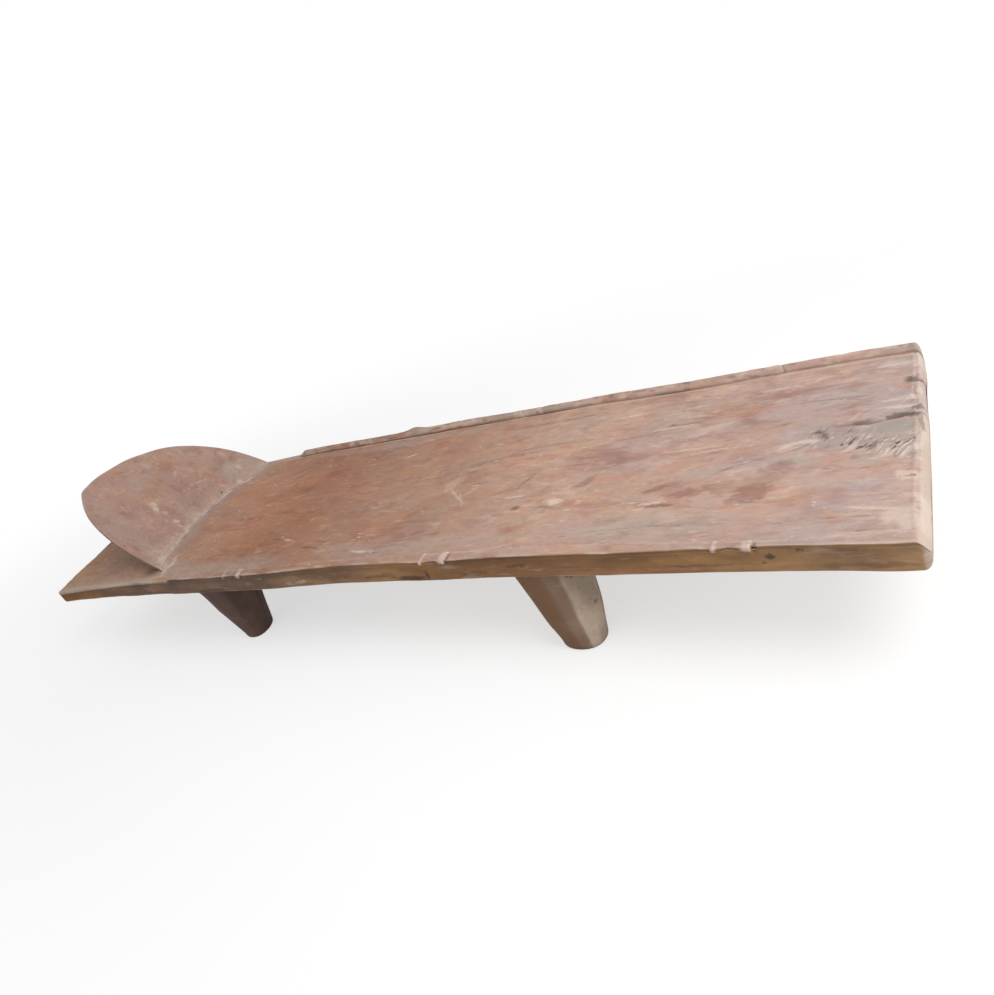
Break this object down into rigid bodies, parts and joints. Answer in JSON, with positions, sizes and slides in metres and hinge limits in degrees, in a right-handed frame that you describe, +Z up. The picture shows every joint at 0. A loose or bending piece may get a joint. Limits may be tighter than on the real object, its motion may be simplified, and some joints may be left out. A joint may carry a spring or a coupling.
{
  "type": "carved wooden daybed",
  "caption": "Low bed hewn from one log: a long rimmed plank on splayed tapered legs, with a sloping headrest over a bare tail board.",
  "frame": {"origin": "on the floor under the middle of the bed", "axes": "+X from the headrest's end to the foot end, +Y to the far side, +Z up"},
  "size_m": [2.2, 0.5473, 0.4519],
  "materials": {
    "worn_wood": "matt, weathered and polished by use",
    "leg_wood": "matt, adzed"
  },
  "bodies": {
    "root": {"deck": "worn_wood", "near_rim": "worn_wood", "far_rim": "worn_wood", "tail_board": "worn_wood", "headrest": "worn_wood", "head_near_leg": "leg_wood", "head_far_leg": "leg_wood", "foot_near_leg": "leg_wood", "foot_far_leg": "leg_wood"}
  },
  "joints": []
}
